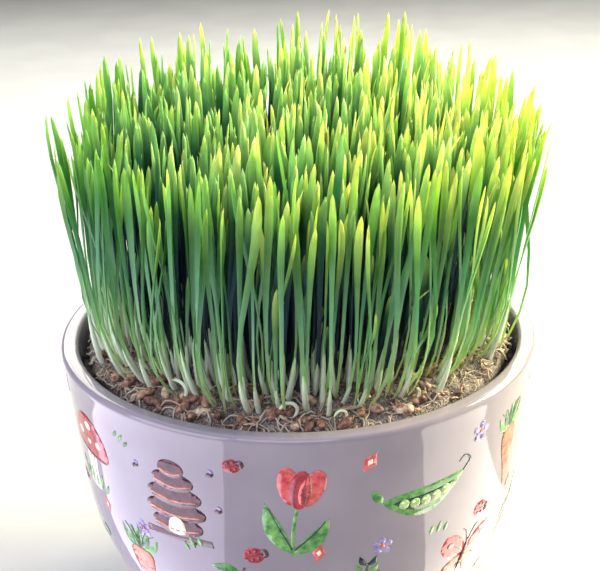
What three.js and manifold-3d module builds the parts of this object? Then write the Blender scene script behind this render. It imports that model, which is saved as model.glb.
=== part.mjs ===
// A pot of wheatgrass: a glazed ceramic bowl, the soil that fills it, and the sod of young
// wheat that grows in it. Millimetres, +Z up, origin on the table under the middle of the foot.

import * as THREE from 'three';
import { mergeVertices } from 'three/addons/utils/BufferGeometryUtils.js';
import Module from 'manifold-3d';

const wasm = await Module();
wasm.setup();

// Pot: outside
const LIP_RADIUS = 85;
const POT_HEIGHT = 122;
const TAPER = THREE.MathUtils.degToRad(5.6);
const TAPER_DEPTH = 48;
const BELLY_RADIUS = 100;
const FOOT_RADIUS = 42.5;
const FOOT_HEIGHT = 7;
const FOOT_STEP = 1;
const FOOT_WIDTH = 8;
const FOOT_EDGE = 1;
const FOOT_RECESS = 2.5;
const POT_SIDES = 64;
const BELLY_STEPS = 8;

// Pot: wall, lip and floor
const WALL = 6.3;
const LIP_EDGE = 2.2;
const LIP_EDGE_STEPS = 3;
const FLOOR = 8;
const INSIDE_STEPS = 6;

// Soil
const SOIL_DEPTH = 9;
const SOIL_BUMP = 0.7;
const SOIL_SIDE_STEPS = 4;
const GAP = 0.3;
const WALL_GAP = 2 * GAP;

// Root mat
const MAT_SIDES = 40;
const MAT_RADIUS = 75.5;
const MAT_SEAT_RADIUS = 73;
const MAT_EDGE_WIDTH = 15;
const SOD_SET_BACK = 1.8;
const MAT_TOP = POT_HEIGHT - 0.5;
const MAT_TOP_INSETS = [1, 7, MAT_EDGE_WIDTH, MAT_RADIUS];
const MAT_EDGE_DROP = 3;
const MAT_EDGE_LIFT = 2.2;
const MAT_BUMP = 0.9;

// Wheat grains
const GRAINS = 40;
const GRAIN_LENGTH = 6.6;
const GRAIN_WIDTH = 3.4;
const GRAIN_SIDES = 4;
const GRAIN_INNER_RADIUS = 52;
const GRAIN_OUTER_RADIUS = 72;
const GRAIN_TILT = 0.3;
const GRAIN_RISE = 0.15;

// Grass blades
const BLADES = 460;
const ROOT_RADIUS = 73.5;
const ROOT_DEPTH = 2.6;
const ROOT_JITTER = 1.4;
const BLADE_HEIGHT = 83;
const BLADE_HEIGHT_SPREAD = 8.5;
const BLADE_BACK_RISE = 9;
const BLADE_WIDTH = 2.7;
const BLADE_WIDTH_SPREAD = 0.35;
const BLADE_KEEL = 0.42;
const FAN_OUT = 9;
const FAN_POWER = 1.5;
const FAN_BEND = 0.6;
const LEAN_SPREAD = 5;
const LEAN_RIGHT = 3;
const LEAN_BEND = 1.6;
const FRONT_PULL = 6;
const FRONT_PULL_POWER = 5;
const FRONT_START = 10;
const FRONT_FULL = 45;
const TWIST_SPREAD = 1.6;
const CLEARANCE = 2.3;
const CLEARANCE_CHECKS = 8;
const NEIGHBOUR_REACH = 2.5 * LEAN_SPREAD + CLEARANCE;
const TRIES = 14;

// A blade's sections: height along it, and width as a share of its widest. It twists only
// above the straight share, so its sides are flat where they leave the mat. Only the tips of
// the inner blades show, so they have no middle section and no twist.
const STRAIGHT_SHARE = 0.35;
const INNER_RADIUS = 45;
const ROOT_SECTION = { along: 0, width: 0.66 };
const MIDDLE_SECTION = { along: STRAIGHT_SHARE, width: 0.82 };
const WIDEST_SECTION = { along: 0.8, width: 1 };

const GOLDEN_ANGLE = Math.PI * (3 - Math.sqrt(5));

// A repeatable sequence of numbers from 0 to 1
function numberSource(seed) {
  let state = seed;
  return () => {
    state = (state * 16807) % 2147483647;
    return state / 2147483647;
  };
}

const random = numberSource(77);
const spread = (amount) => (random() * 2 - 1) * amount;

// Closed surface of a profile turned about the Z axis, its height changed by relief(x, y, z)
function revolve(profile, sides, relief = () => 0) {
  const geometry = new THREE.LatheGeometry(profile, sides);
  geometry.rotateX(Math.PI / 2);
  geometry.deleteAttribute('normal');
  geometry.deleteAttribute('uv');
  const position = geometry.attributes.position;
  for (let i = 0; i < position.count; i += 1) {
    const x = position.getX(i);
    const y = position.getY(i);
    const z = position.getZ(i);
    position.setZ(i, z + relief(x, y, z));
  }
  return mergeVertices(geometry, 1e-3);
}

// Points of an arc in the profile plane, angles in radians from the outward direction
function arc(radius, height, size, from, to, steps) {
  const points = [];
  for (let i = 0; i <= steps; i += 1) {
    const angle = from + ((to - from) * i) / steps;
    points.push(new THREE.Vector2(radius + size * Math.cos(angle), height + size * Math.sin(angle)));
  }
  return points;
}

// Outside radius of the bowl at a depth below the lip: a straight taper, then the belly's arc
function bowlRadius(depth, inset = 0) {
  const shoulder = LIP_RADIUS - Math.tan(TAPER) * TAPER_DEPTH;
  if (depth <= TAPER_DEPTH) {
    return LIP_RADIUS - Math.tan(TAPER) * depth - inset;
  }
  const size = BELLY_RADIUS;
  const centreRadius = shoulder - size * Math.cos(TAPER);
  const centreDepth = TAPER_DEPTH - size * Math.sin(TAPER);
  return centreRadius + Math.sqrt((size - inset) ** 2 - (depth - centreDepth) ** 2);
}

// Bowl wall between two depths, from the lower to the upper
function bowlSide(lowDepth, highDepth, inset, steps) {
  const points = [];
  for (let i = 0; i <= steps; i += 1) {
    const depth = lowDepth + ((highDepth - lowDepth) * i) / steps;
    points.push(new THREE.Vector2(bowlRadius(depth, inset), POT_HEIGHT - depth));
  }
  return points;
}

function potGeometry() {
  const innerFoot = FOOT_RADIUS - FOOT_WIDTH;
  const lipInner = LIP_RADIUS - WALL;
  const profile = [
    new THREE.Vector2(0, FOOT_RECESS),
    new THREE.Vector2(innerFoot, FOOT_RECESS),
    new THREE.Vector2(innerFoot + FOOT_EDGE, 0),
    new THREE.Vector2(FOOT_RADIUS - FOOT_EDGE, 0),
    new THREE.Vector2(FOOT_RADIUS, FOOT_EDGE),
    new THREE.Vector2(FOOT_RADIUS, FOOT_HEIGHT),
    ...bowlSide(POT_HEIGHT - FOOT_HEIGHT - FOOT_STEP, TAPER_DEPTH, 0, BELLY_STEPS),
    ...arc(LIP_RADIUS - LIP_EDGE, POT_HEIGHT - LIP_EDGE, LIP_EDGE, 0, Math.PI / 2, LIP_EDGE_STEPS),
    ...arc(lipInner + LIP_EDGE, POT_HEIGHT - LIP_EDGE, LIP_EDGE, Math.PI / 2, Math.PI, LIP_EDGE_STEPS),
    ...bowlSide(POT_HEIGHT - FLOOR, TAPER_DEPTH, WALL, INSIDE_STEPS).reverse(),
    new THREE.Vector2(0, FLOOR),
  ];
  return revolve(profile, POT_SIDES);
}

const soilTop = POT_HEIGHT - SOIL_DEPTH;

// Soil: level under the mat, crumbly in the ring that shows beside it
function soilRelief(x, y) {
  const radius = Math.hypot(x, y) - SOD_SET_BACK;
  const shown = THREE.MathUtils.smoothstep(radius, MAT_SEAT_RADIUS, MAT_RADIUS);
  const crumbs = Math.sin(x * 0.71 + 1.3) * Math.cos(y * 0.63 - 0.4) + 0.6 * Math.sin((x - y) * 0.37);
  return SOIL_BUMP * shown * crumbs;
}

function soilGeometry() {
  const floor = FLOOR + GAP;
  const depth = POT_HEIGHT - floor;
  const profile = [
    new THREE.Vector2(0, floor),
    ...bowlSide(depth, TAPER_DEPTH, WALL + WALL_GAP, SOIL_SIDE_STEPS),
    new THREE.Vector2(bowlRadius(SOIL_DEPTH, WALL + WALL_GAP), soilTop),
    new THREE.Vector2(MAT_SEAT_RADIUS + SOD_SET_BACK, soilTop),
    new THREE.Vector2(0, soilTop),
  ];
  return revolve(profile, MAT_SIDES, (x, y, z) => (z === Math.fround(soilTop) ? soilRelief(x, y) : 0));
}

// Root mat: it lies level on the soil. Its top is level in the middle, lumpy towards the edge,
// where it shows between the blades, and falls away at the edge itself.
function matHeight(x, y) {
  const fall = THREE.MathUtils.smoothstep(Math.hypot(x, y), MAT_RADIUS - MAT_EDGE_WIDTH, MAT_RADIUS);
  const lumps = Math.sin(x * 0.29 + 0.7) * Math.sin(y * 0.33 + 2.1) + 0.5 * Math.sin((x + y) * 0.47);
  return MAT_TOP - MAT_EDGE_DROP * fall + MAT_BUMP * Math.sqrt(fall) * lumps;
}

function matGeometry() {
  const seat = soilTop + GAP;
  const profile = [
    new THREE.Vector2(0, seat),
    new THREE.Vector2(MAT_SEAT_RADIUS, seat),
    new THREE.Vector2(MAT_RADIUS, seat + MAT_EDGE_LIFT),
    ...MAT_TOP_INSETS.map((inset) => new THREE.Vector2(MAT_RADIUS - inset, MAT_TOP)),
  ];
  return revolve(profile, MAT_SIDES, (x, y, z) => (z === Math.fround(MAT_TOP) ? matHeight(x, y) - z : 0));
}

// One plump grain lying on the mat, sunk to its middle
function grainGeometry() {
  const radius = THREE.MathUtils.lerp(GRAIN_INNER_RADIUS, GRAIN_OUTER_RADIUS, Math.sqrt(random()));
  const bearing = random() * Math.PI * 2;
  const x = radius * Math.cos(bearing);
  const y = radius * Math.sin(bearing);
  const geometry = new THREE.SphereGeometry(GRAIN_WIDTH / 2, GRAIN_SIDES, 3);
  geometry.deleteAttribute('normal');
  geometry.deleteAttribute('uv');
  geometry.scale(1, GRAIN_LENGTH / GRAIN_WIDTH, 1);
  geometry.rotateX(spread(GRAIN_TILT));
  geometry.rotateZ(random() * Math.PI);
  geometry.translate(x, y, matHeight(x, y) + GRAIN_WIDTH * GRAIN_RISE);
  return mergeVertices(geometry, 1e-3);
}

// Place of a blade's middle at a share of its height. Its foot is pulled in by blade.pull.
function bladePoint(blade, along) {
  const pull = blade.pull * Math.max(1 - along / STRAIGHT_SHARE, 0);
  const fan = blade.fan * along ** FAN_BEND - pull;
  const lean = along ** LEAN_BEND;
  return new THREE.Vector3(
    blade.x + fan * Math.cos(blade.bearing) + blade.leanX * lean,
    blade.y + fan * Math.sin(blade.bearing) + blade.leanY * lean,
    blade.z + blade.height * along,
  );
}

// True where two blades stay apart at every height
function keepsClear(blade, others) {
  return others.every((other) => {
    if (Math.hypot(blade.x - other.x, blade.y - other.y) > NEIGHBOUR_REACH) {
      return true;
    }
    for (let along = 0; along <= 1; along += 1 / CLEARANCE_CHECKS) {
      const here = bladePoint(blade, along);
      const there = bladePoint(other, Math.min((along * blade.height) / other.height, 1));
      if (Math.hypot(here.x - there.x, here.y - there.y) < CLEARANCE) {
        return false;
      }
    }
    return true;
  });
}

// One blade's place, lean, height, width and turn, drawn at random about its place in the spiral
function drawBlade(index) {
  const radius = ROOT_RADIUS * Math.sqrt((index + 0.5) / BLADES);
  const bearing = index * GOLDEN_ANGLE;
  const x = radius * Math.cos(bearing) + spread(ROOT_JITTER);
  const y = radius * Math.sin(bearing) + spread(ROOT_JITTER);
  const inner = radius < INNER_RADIUS;
  const front = THREE.MathUtils.smoothstep(-y, FRONT_START, FRONT_FULL);
  const pull = inner ? 0 : FRONT_PULL * front * (radius / ROOT_RADIUS) ** FRONT_PULL_POWER;
  return {
    x,
    y,
    z: matHeight(x - pull * Math.cos(bearing), y - pull * Math.sin(bearing)) - ROOT_DEPTH,
    pull,
    sections: inner ? [ROOT_SECTION, WIDEST_SECTION] : [ROOT_SECTION, MIDDLE_SECTION, WIDEST_SECTION],
    bearing,
    fan: FAN_OUT * (radius / ROOT_RADIUS) ** FAN_POWER,
    leanX: spread(LEAN_SPREAD) + LEAN_RIGHT,
    leanY: spread(LEAN_SPREAD),
    height: BLADE_HEIGHT + spread(BLADE_HEIGHT_SPREAD) + BLADE_BACK_RISE * (y / ROOT_RADIUS) + ROOT_DEPTH,
    width: BLADE_WIDTH + spread(BLADE_WIDTH_SPREAD),
    turn: random() * Math.PI * 2,
    twist: inner ? 0 : spread(TWIST_SPREAD),
  };
}

function placeBlades() {
  const blades = [];
  for (let index = 0; index < BLADES; index += 1) {
    let blade = drawBlade(index);
    for (let attempt = 1; attempt < TRIES && !keepsClear(blade, blades); attempt += 1) {
      blade = drawBlade(index);
    }
    blades.push(blade);
  }
  return blades;
}

// A keeled blade: three-sided sections that widen upwards and end in one point
function bladeGeometry(blade) {
  const corners = [];
  for (const { along, width } of blade.sections) {
    const middle = bladePoint(blade, along);
    const turn = blade.turn + blade.twist * Math.max(along - STRAIGHT_SHARE, 0);
    const half = (blade.width * width) / 2;
    const keel = blade.width * width * BLADE_KEEL;
    const across = new THREE.Vector3(Math.cos(turn), Math.sin(turn), 0);
    const back = new THREE.Vector3(-Math.sin(turn), Math.cos(turn), 0);
    corners.push(middle.clone().addScaledVector(across, half).addScaledVector(back, -keel / 3));
    corners.push(middle.clone().addScaledVector(back, (keel * 2) / 3));
    corners.push(middle.clone().addScaledVector(across, -half).addScaledVector(back, -keel / 3));
  }
  corners.push(bladePoint(blade, 1));
  const faces = [0, 2, 1];
  const last = 3 * (blade.sections.length - 1);
  for (let ring = 0; ring < last; ring += 3) {
    for (let side = 0; side < 3; side += 1) {
      const next = (side + 1) % 3;
      faces.push(ring + side, ring + next, ring + 3 + next);
      faces.push(ring + side, ring + 3 + next, ring + 3 + side);
    }
  }
  for (let side = 0; side < 3; side += 1) {
    faces.push(last + side, last + ((side + 1) % 3), last + 3);
  }
  const geometry = new THREE.BufferGeometry().setFromPoints(corners);
  geometry.setIndex(faces);
  return geometry;
}

function toSolid(geometry) {
  const mesh = new wasm.Mesh({
    numProp: 3,
    vertProperties: Float32Array.from(geometry.attributes.position.array),
    triVerts: Uint32Array.from(geometry.index.array),
  });
  return new wasm.Manifold(mesh);
}

function toGeometry(solid) {
  const mesh = solid.getMesh();
  const geometry = new THREE.BufferGeometry();
  geometry.setAttribute('position', new THREE.BufferAttribute(mesh.vertProperties, 3));
  geometry.setIndex(new THREE.BufferAttribute(mesh.triVerts, 1));
  return geometry;
}

// The sod: root mat, grains and blades grown together in one body
function sodGeometry() {
  let sod = toSolid(matGeometry());
  for (let i = 0; i < GRAINS; i += 1) {
    sod = sod.add(toSolid(grainGeometry()));
  }
  for (const blade of placeBlades()) {
    sod = sod.add(toSolid(bladeGeometry(blade)));
  }
  return toGeometry(sod).translate(0, SOD_SET_BACK, 0);
}

function piece(name, geometry, color, roughness) {
  const material = new THREE.MeshStandardMaterial({ color, roughness, metalness: 0 });
  const mesh = new THREE.Mesh(geometry, material);
  mesh.name = name;
  return mesh;
}

const group = new THREE.Group();
group.add(piece('pot', potGeometry(), '#e2dbe2', 0.15));
group.add(piece('soil', soilGeometry(), '#332d2d', 0.95));
group.add(piece('wheatgrass_sod', sodGeometry(), '#6faa42', 0.5));

export default group;
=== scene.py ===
"""A pot of wheatgrass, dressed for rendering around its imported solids. Blender 4.5.

Lengths are in millimetres while a piece is made, and a finished mesh is in metres.
"""

import math
import random

import bmesh
import bpy
import numpy as np
from mathutils import Matrix, Vector, noise


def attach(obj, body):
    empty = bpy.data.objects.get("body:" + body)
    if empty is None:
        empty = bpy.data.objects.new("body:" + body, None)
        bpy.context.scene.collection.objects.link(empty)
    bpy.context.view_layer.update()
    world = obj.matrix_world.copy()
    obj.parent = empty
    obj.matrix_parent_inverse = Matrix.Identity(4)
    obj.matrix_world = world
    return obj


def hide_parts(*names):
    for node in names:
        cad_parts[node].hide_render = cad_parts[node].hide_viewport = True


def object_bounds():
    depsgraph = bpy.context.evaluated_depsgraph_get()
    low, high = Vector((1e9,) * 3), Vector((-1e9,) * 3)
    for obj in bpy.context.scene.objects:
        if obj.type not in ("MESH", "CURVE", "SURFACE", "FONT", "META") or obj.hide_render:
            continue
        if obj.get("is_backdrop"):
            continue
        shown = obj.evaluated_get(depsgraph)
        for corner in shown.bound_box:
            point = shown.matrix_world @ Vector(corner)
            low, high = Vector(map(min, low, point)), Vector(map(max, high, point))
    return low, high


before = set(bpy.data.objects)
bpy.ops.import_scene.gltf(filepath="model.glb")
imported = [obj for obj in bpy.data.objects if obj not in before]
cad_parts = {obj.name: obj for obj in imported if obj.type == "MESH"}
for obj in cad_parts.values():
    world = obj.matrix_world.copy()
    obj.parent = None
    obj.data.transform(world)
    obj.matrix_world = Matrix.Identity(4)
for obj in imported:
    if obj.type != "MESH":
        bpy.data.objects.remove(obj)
cad_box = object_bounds()

MM = 0.001

# Points closer than this are one point, and heights closer than this are one height
SAME_POINT = 1e-4
SAME_HEIGHT = 0.01

# Camera
CAMERA_PLACE = (1.0, -460.2, 333.9)
CAMERA_PITCH = 23.17
CAMERA_ROLL = -1.22
LENS = 84
SENSOR = 36

# Pot
LIP_RADIUS = 85
POT_HEIGHT = 122
TAPER = math.radians(5.6)
TAPER_DEPTH = 48
SHOULDER_RADIUS = LIP_RADIUS - math.tan(TAPER) * TAPER_DEPTH
BELLY_RADIUS = 100
FOOT_RADIUS = 42.5
FOOT_HEIGHT = 7
FOOT_STEP = 1
FOOT_FLARE = 0.4
FOOT_WIDTH = 8
FOOT_EDGE = 1
FOOT_RECESS = 2.5
WALL = 6.3
LIP_EDGE = 2.2
FLOOR = 8
POT_STEPS = 192

# Soil
SOIL_DEPTH = 9
SOIL_TOP = POT_HEIGHT - SOIL_DEPTH
SOIL_BUMP = 0.7
WALL_GAP = 0.6
GAP = 0.3
SOIL_STEPS = 200
SOIL_RINGS = 12
SOIL_RING_WIDTH = 0.45
SOIL_LEVEL_RADIUS = 60
CRUMBS = 420
CRUMB_RING = (71.5, 76.6)
CRUMB_SIZES = (0.35, 0.95)
CRUMB_STRETCHES = ((0.8, 1.4), (0.7, 1.1), (0.6, 0.9))
CRUMB_ROUGHNESS = 0.35

# Root mat
MAT_RADIUS = 75.5
MAT_SEAT_RADIUS = 73
MAT_EDGE_WIDTH = 15
SOD_SET_BACK = 1.8
MAT_TOP = POT_HEIGHT - 0.5
MAT_EDGE_DROP = 3
MAT_EDGE_LIFT = 2.2
MAT_BUMP = 0.9
MAT_STEPS = 260
MAT_RINGS = 34
MAT_RING_WIDTH = 0.75
MAT_INNER_RING = 34
MAT_EDGE_WAVE = 0.012

# Wheat grains: those of the solids first, then the ones between them
GRAINS = 40
MORE_GRAINS = 110
MORE_GRAINS_RING = (46, 75)
GRAIN_LENGTH = 6.6
GRAIN_WIDTH = 3.4
GRAIN_INNER_RADIUS = 52
GRAIN_OUTER_RADIUS = 72
GRAIN_TILT = 0.3
GRAIN_RISE = 0.15

# Blades: those of the solids first, by the same rule, then the ones between them
SEED = 77
BLADES = 460
ROOT_RADIUS = 73.5
ROOT_DEPTH = 2.6
ROOT_JITTER = 1.4
BLADE_HEIGHT = 83
BLADE_HEIGHT_SPREAD = 8.5
BLADE_BACK_RISE = 9
BLADE_WIDTH = 2.7
BLADE_WIDTH_SPREAD = 0.35
FAN_OUT = 9
FAN_POWER = 1.5
FAN_BEND = 0.6
LEAN_SPREAD = 5
LEAN_RIGHT = 3
LEAN_BEND = 1.6
FRONT_PULL = 6
FRONT_PULL_POWER = 5
FRONT_START = 10
FRONT_FULL = 45
TWIST_SPREAD = 1.6
CLEARANCE = 2.3
CLEARANCE_CHECKS = 8
NEIGHBOUR_REACH = 2.5 * LEAN_SPREAD + CLEARANCE
TRIES = 14
INNER_RADIUS = 45
STRAIGHT_SHARE = 0.35
GOLDEN_ANGLE = math.pi * (3 - math.sqrt(5))

MORE_BLADES = 1250
FULL_HEIGHTS = (0.84, 0.99)
SHORT_SHARE = 0.2
SHORT_HEIGHTS = (0.4, 0.85)
MORE_WIDTHS = (0.62, 1.08)
CLUMP_SHARE = 0.4
CLUMP_SPREAD = 1
LEFT_REACH = -79.5
# Blades that stand within this radius get leaf colours with painted shade low down
PAINTED_SHADE_RADIUS = 61
SHEATH_INNER_RADIUS = 44
# Share of the shoots that still show their sheath, from the left to the right, and where it changes
SHEATH_CHANCES = (0.55, 0.18)
SHEATH_CHANGE = (-20, 50)

# Bare places in the growth between the main blades: thin patches in its outer part at the front and
# back, and the rim at the front
PATCH_SCALE = 0.07
PATCH_LEVEL = 0.12
PATCH_INNER_RADIUS = 48
PATCH_REACH = 45
FRONT_BARE_RADIUS = 64

# Habits that the solids don't show, and the blades' tint, whose rise to the right is painted light
# A blade's tint spreads at random about its middle, the blade's own tone, and rises towards the right:
# painted light, the right-hand blades drawn yellower and lighter for the sun from the right
TINT_MIDDLE = 0.46
PAINTED_SUN_TINT_RISE = 0.005
TINT_SPREAD = 0.4
PULL_STRENGTH = 1.2
RIM_PULLS = (0, 2)
KINK_SPREAD = 2
SWAY_SPREAD = 1.3
DROOP_CHANCE = 0.05
DROOPS = (2, 5)
TIP_SPREAD = 0.8
# A blade that leaves the solids' box is drawn in by this share and height at a time
CUT_BACK = 0.93
CUT_HEIGHT = 0.3
SHEATH_LENGTHS = (11, 28)

# Husks and fine roots lie in a band, from a radius inward
HUSKS = 520
HUSK_RADIUS = 75
HUSK_BAND = 24
HUSK_SHAPES = ((0.4, 0.8), (1.2, 2.8), (0.16, 0.4))
HUSK_BOW = (0, 0, -0.5)
HUSK_TILT = 0.5
HUSK_RISES = (0.1, 1)
ROOT_HAIRS = 330
HAIR_RADIUS = 76.5
HAIR_BAND = 26
HAIR_LIMIT = 76
HAIR_LENGTHS = (6, 17)
HAIR_THICKNESS = (0.16, 0.34)
HAIR_RINGS = 9
HAIR_BEND = 0.35
HAIR_WANDER = 0.3
HAIR_HUMP_CHANCE = 0.4
HAIR_HUMPS = (0.2, 2.6)
HAIR_LOW_HUMP = 0.4
HAIR_RISE = 0.15
HAIR_DROP = 1.2

# Studio: bearings of the two low panels from the way to the camera, their distance, length and height
LEFT_PANEL_BEARING = math.radians(-31)
RIGHT_PANEL_BEARING = math.radians(51)
PANEL_START = 60
PANEL_LENGTH = 400
PANEL_HEIGHT = 2
LIGHTS_AIM = (0, 0, 130)
FLOOR_REACH = 4000

draw = random.Random(20)


def smoothstep(value, low, high):
    """0 below low, 1 above high, and an S-shaped rise between them."""
    share = min(max((value - low) / (high - low), 0), 1)
    return share * share * (3 - 2 * share)


# Materials

def srgb(colour):
    """Linear RGBA of an sRGB hex colour."""
    parts = [int(colour[i:i + 2], 16) / 255 for i in (1, 3, 5)]
    return [p / 12.92 if p <= 0.04045 else ((p + 0.055) / 1.055) ** 2.4 for p in parts] + [1]


class Look:
    """A node material while it is put together. Sizes and depths in it are in millimetres."""

    def __init__(self, name):
        self.material = bpy.data.materials.new(name)
        self.material.use_nodes = True
        self.material.node_tree.nodes.clear()
        self.place = self.add("TexCoord", "Object")

    def add(self, kind, output, inputs=None, **settings):
        """Adds a node and gives one of its outputs. An input is a value or another node's output."""
        tree = self.material.node_tree
        node = tree.nodes.new("ShaderNode" + kind)
        for name, value in settings.items():
            setattr(node, name, value)
        for name, value in (inputs or {}).items():
            if isinstance(value, bpy.types.NodeSocket):
                tree.links.new(value, node.inputs[name])
            else:
                node.inputs[name].default_value = value
        return node.outputs[output]

    def attribute(self, name):
        return self.add("Attribute", "Fac", attribute_name=name)

    def compute(self, operation, *values):
        """One sum of some values."""
        return self.add("Math", "Value", dict(enumerate(values)), operation=operation)

    def between(self, value, low, high):
        """A value from 0 to 1, stretched from low to high."""
        return self.add("MapRange", "Result", {"Value": value, "To Min": low, "To Max": high})

    def noise(self, size, detail, roughness=0.5, output="Fac"):
        """Noise whose features are size apart."""
        return self.add("TexNoise", output, {
            "Vector": self.place, "Scale": 1 / (size * MM), "Detail": detail, "Roughness": roughness})

    def cells(self, place, size, **settings):
        """Distances within a pattern of cells that are size across."""
        return self.add("TexVoronoi", "Distance", {"Vector": place, "Scale": 1 / (size * MM)}, **settings)

    def ramp(self, value, stops):
        """A colour for a value, by stops of a value and its colour."""
        colour = self.add("ValToRGB", "Color", {"Fac": value})
        elements = colour.node.color_ramp.elements
        while len(elements) < len(stops):
            elements.new(1)
        for element, (place, stop) in zip(elements, stops):
            element.position = place
            element.color = srgb(stop)
        return colour

    def mix(self, share, first, second, **settings):
        return self.add("MixRGB", "Color", {"Fac": share, "Color1": first, "Color2": second}, **settings)

    def bump(self, height, strength, depth, **settings):
        """The normal of a relief."""
        return self.add("Bump", "Normal", {
            "Height": height, "Strength": strength, "Distance": depth * MM}, **settings)

    def surface(self, colour, roughness, normal=None, ior=1.5):
        inputs = {"Base Color": colour, "Roughness": roughness, "IOR": ior}
        if normal:
            inputs["Normal"] = normal
        return self.add("BsdfPrincipled", "BSDF", inputs)

    def finish(self, shader):
        tree = self.material.node_tree
        tree.links.new(shader, tree.nodes.new("ShaderNodeOutputMaterial").inputs["Surface"])
        return self.material


def glaze_material():
    """Glossy glaze over slip-cast white clay: faint clouding, a slow ripple in its shine. Its pale lilac is
    drawn darker, as lilac-grey: painted shade for the shade the pot stands in.
    """
    look = Look("glossy_glaze_on_slipcast_clay")
    # These greys are darker than the pale glaze is: painted shade
    colour = look.ramp(look.noise(size=34, detail=3), [(0.3, "#827B86"), (0.7, "#918A95")])
    ripple = look.bump(look.noise(size=9, detail=1), strength=0.06, depth=0.6)
    return look.finish(look.surface(colour, roughness=0.06, normal=ripple))


def ink_material(name, dark, light):
    """Ceramic ink fired under the glaze: mottled like a colour wash, with the glaze's gloss."""
    look = Look("underglaze_ink_" + name)
    wash = look.noise(size=3.2, detail=4, roughness=0.65)
    colour = look.ramp(wash, [(0.36, dark), (0.64, light)])
    return look.finish(look.surface(colour, roughness=0.08))


def soil_material():
    """Damp potting soil: near black, matt and crumbly, with paler flecks of fibre."""
    look = Look("damp_potting_soil")
    fleck = look.noise(size=0.9, detail=5, roughness=0.7)
    colour = look.ramp(fleck, [(0.35, "#17120F"), (0.58, "#352B26"), (0.75, "#6B5A4C")])
    relief = look.bump(look.cells(look.place, size=1.6), strength=0.8, depth=0.8)
    return look.finish(look.surface(colour, roughness=0.92, normal=relief))


def root_mat_material():
    """Root felt: tangled pale fibres over dark soil, matt with a stringy relief."""
    look = Look("felted_wheat_roots")
    bent = look.mix(0.02, look.place, look.noise(size=5, detail=2, output="Color"))
    strands = look.cells(bent, size=2.2, feature="DISTANCE_TO_EDGE")
    thread = look.ramp(strands, [(0.0, "#CCC2B8"), (0.14, "#453C3A")])
    patch = look.noise(size=7, detail=6, roughness=0.7)
    ground = look.ramp(patch, [(0.34, "#1E1A1A"), (0.5, "#5C5250"), (0.66, "#948882")])
    relief = look.bump(strands, strength=0.9, depth=0.9, invert=True)
    return look.finish(look.surface(look.mix(0.55, thread, ground), roughness=0.85, normal=relief))


def grain_material():
    """Soaked wheat bran: tan to reddish brown from grain to grain, satin, with fine wrinkles."""
    look = Look("soaked_wheat_bran")
    own = look.ramp(look.attribute("tint"), [
        (0.0, "#6A4A44"), (0.4, "#9C7464"), (0.75, "#C09C82"), (1.0, "#DCC6AE")])
    spot = look.noise(size=1.4, detail=4)
    shade = look.ramp(spot, [(0.35, "#8C7365"), (0.6, "#FFFFFF")])
    colour = look.mix(1, own, shade, blend_type="MULTIPLY")
    relief = look.bump(spot, strength=0.4, depth=0.3)
    return look.finish(look.surface(colour, roughness=0.42, normal=relief, ior=1.45))


def leaf_material(name, stops, glow):
    """Living wheat: its colour runs along it, fine ribs run with it, light comes through it."""
    look = Look(name)
    tint = look.attribute("tint")
    shift = look.compute("MULTIPLY_ADD", tint, TINT_SHIFT, -TINT_SHIFT / 2)
    along = look.compute("ADD", look.attribute("along"), shift)
    colour = look.add("HueSaturation", "Color", {
        "Hue": look.between(tint, *LEAF_HUES),
        "Value": look.between(look.noise(size=6, detail=3), *BLOTCH_VALUES),
        "Color": look.ramp(along, stops)})
    ribs = look.compute("SINE", look.compute("MULTIPLY", look.attribute("across"), RIB_TURNS))
    relief = look.bump(ribs, strength=0.35, depth=0.1)
    surface = look.surface(colour, roughness=0.4, normal=relief, ior=1.42)
    lit = look.add("HueSaturation", "Color", {"Hue": 0.48, "Saturation": 1.1, "Value": 1.1, "Color": colour})
    through = look.add("BsdfTranslucent", "BSDF", {"Color": lit, "Normal": relief})
    return look.finish(look.add("MixShader", "Shader", {0: glow, 1: surface, 2: through}))


# A leaf's ribs are 0.25 mm apart. They are drawn 0.6 mm apart, or they wouldn't show.
RIB_TURNS = 2 * math.pi / 0.6
# How far a leaf's tint moves its colours along it, and the hues and values it ranges over
TINT_SHIFT = 0.16
LEAF_HUES = (0.508, 0.474)
BLOTCH_VALUES = (0.8, 1.2)

# Colours along an outer blade, foot to tip. The pale foot and the green are the leaf's own colour; its cool
# bluish middle is partly painted shade and its lighter tips are partly painted light on the tops
BLADE_STOPS = [
    (0.0, "#E8F4CC"), (0.08, "#CCE6AE"), (0.24, "#A4D296"), (0.5, "#7CB48C"),
    (0.74, "#62A256"), (0.9, "#9ACC6A"), (1.0, "#CCE884")]
# Colours along an inner blade, foot to tip: the dark blue-green of its lower part is painted shade for the
# shade between the stems, darker than the leaf is; its tips are light
PAINTED_SHADE_STOPS = [
    (0.0, "#586668"), (0.25, "#3A4A58"), (0.55, "#3A5E68"), (0.78, "#488656"),
    (0.92, "#A4D286"), (1.0, "#D8EE98")]
SHEATH_STOPS = [(0.0, "#F8FDF0"), (0.5, "#EEFBE4"), (0.8, "#D4F0C4"), (1.0, "#9CD488")]
ROOT_STOPS = [(0.0, "#D6CCB8"), (1.0, "#B4A690")]
# Share of the light that comes through
LEAF_GLOW = 0.48
SHEATH_GLOW = 0.2
ROOT_GLOW = 0.25
CURL_GLOW = 0.3


# Meshes

def polar(radius, bearing):
    """The point at a distance and bearing from the middle."""
    return radius * math.cos(bearing), radius * math.sin(bearing)


def turned(x, y, angle):
    """A point turned about the middle."""
    return x * math.cos(angle) - y * math.sin(angle), x * math.sin(angle) + y * math.cos(angle)


def to_mesh(bm, name):
    mesh = bpy.data.meshes.new(name)
    bm.to_mesh(mesh)
    bm.free()
    return mesh


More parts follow.
